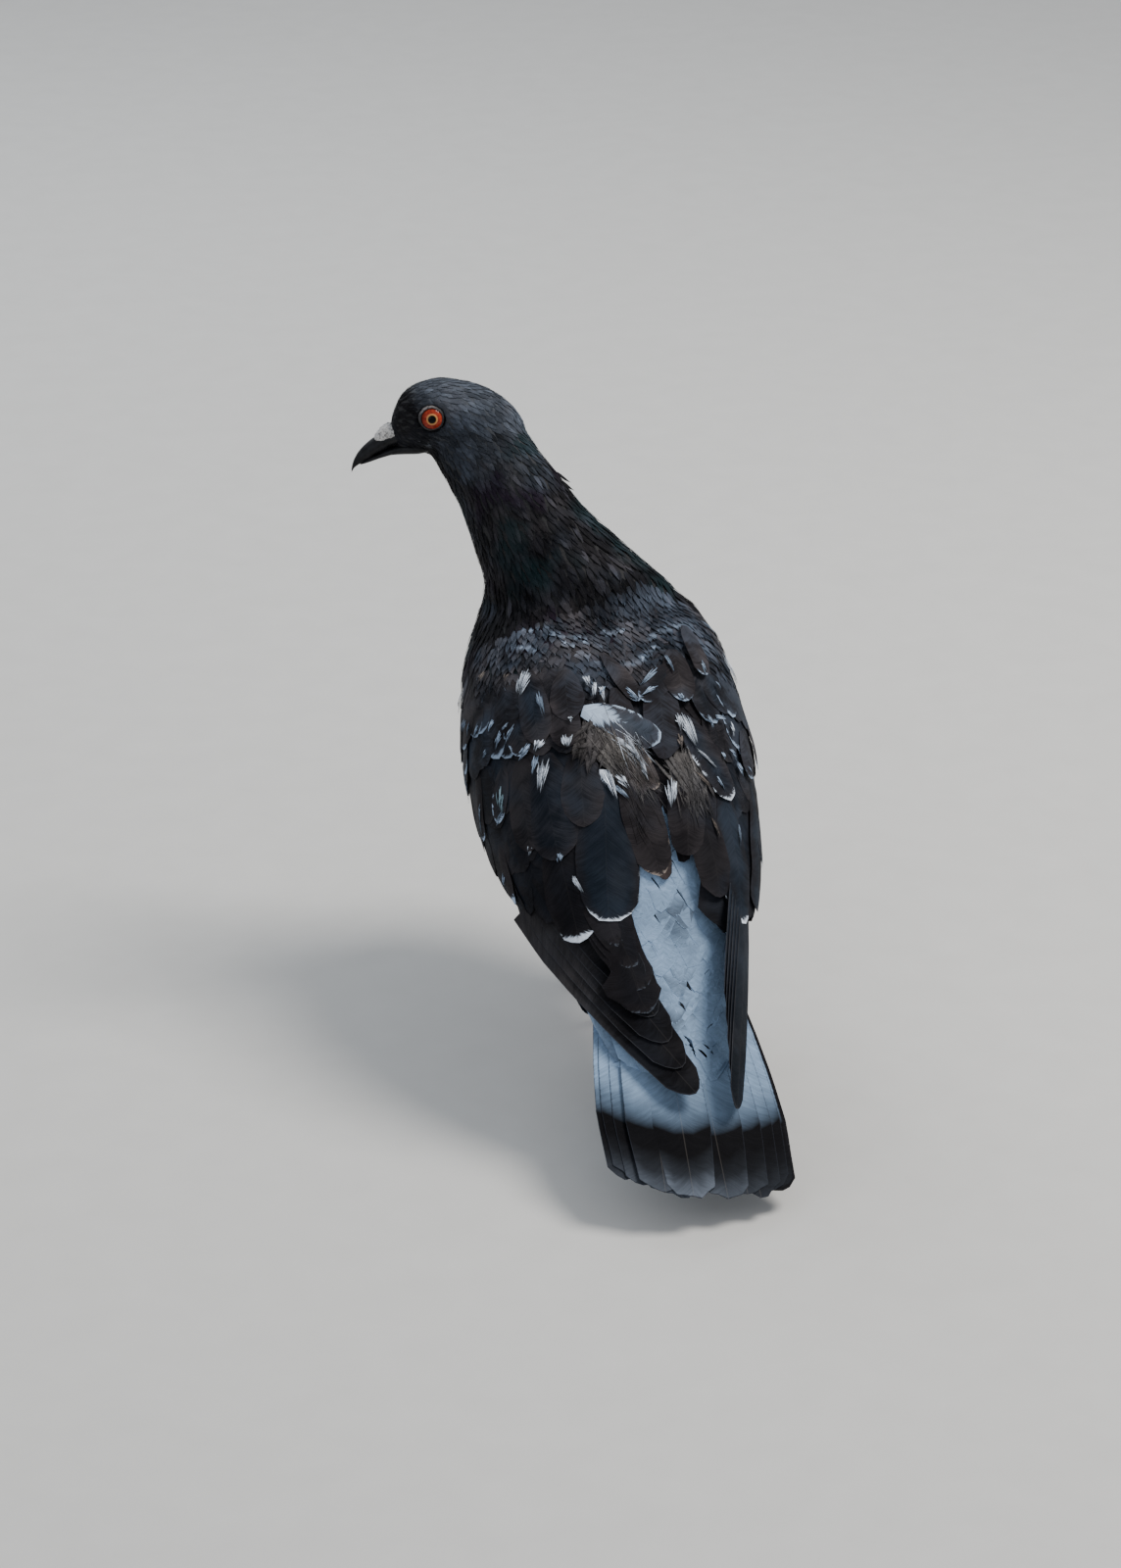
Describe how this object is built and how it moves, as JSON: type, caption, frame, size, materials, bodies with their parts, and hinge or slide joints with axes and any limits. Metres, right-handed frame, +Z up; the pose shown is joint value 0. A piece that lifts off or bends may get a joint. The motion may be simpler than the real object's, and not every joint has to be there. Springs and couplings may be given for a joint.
{
  "type": "pigeon",
  "caption": "Feral pigeon as a still, life-size model: it stands with its wings folded and its tail low, and looks back over its left shoulder.",
  "frame": {"origin": "middle of the bounding box's footprint, on the floor", "axes": "+Y the way the trunk heads, +Z up, -X the bird's left side"},
  "size_m": [0.1258, 0.221, 0.2108],
  "materials": {
    "head_plumage": "fine matte feathers, slate grey",
    "neck_plumage": "near-black feathers with a faint green and purple sheen",
    "trunk_plumage": "dark brown-black feathers, pale blue-grey on the rump",
    "wing_plumage": "brown-black feathers with white flecks and pale edges",
    "primary_plumage": "dark brown flight feathers",
    "tail_plumage": "blue-grey feathers with a black band",
    "bill": "black horn, satin",
    "cere": "chalky white skin",
    "eye": "wet orange-red iris with a black pupil",
    "leg_skin": "coral-red scaled skin",
    "claw": "black horn"
  },
  "bodies": {
    "root": {"cere": "cere", "claw_hind_left": "claw", "claw_hind_right": "claw", "claw_inner_left": "claw", "claw_inner_right": "claw", "claw_middle_left": "claw", "claw_middle_right": "claw", "claw_outer_left": "claw", "claw_outer_right": "claw", "eye_left": "eye", "eye_right": "eye", "foot_left": "leg_skin", "foot_right": "leg_skin", "head": "head_plumage", "lower_bill": "bill", "neck": "neck_plumage", "shank_left": "leg_skin", "shank_right": "leg_skin", "tail": "tail_plumage", "thigh_left": "trunk_plumage", "thigh_right": "trunk_plumage", "trunk": "trunk_plumage", "upper_bill": "bill", "wing_left_coverts": "wing_plumage", "wing_left_primaries": "primary_plumage", "wing_left_secondaries": "wing_plumage", "wing_right_coverts": "wing_plumage", "wing_right_primaries": "primary_plumage", "wing_right_secondaries": "wing_plumage"}
  },
  "joints": []
}
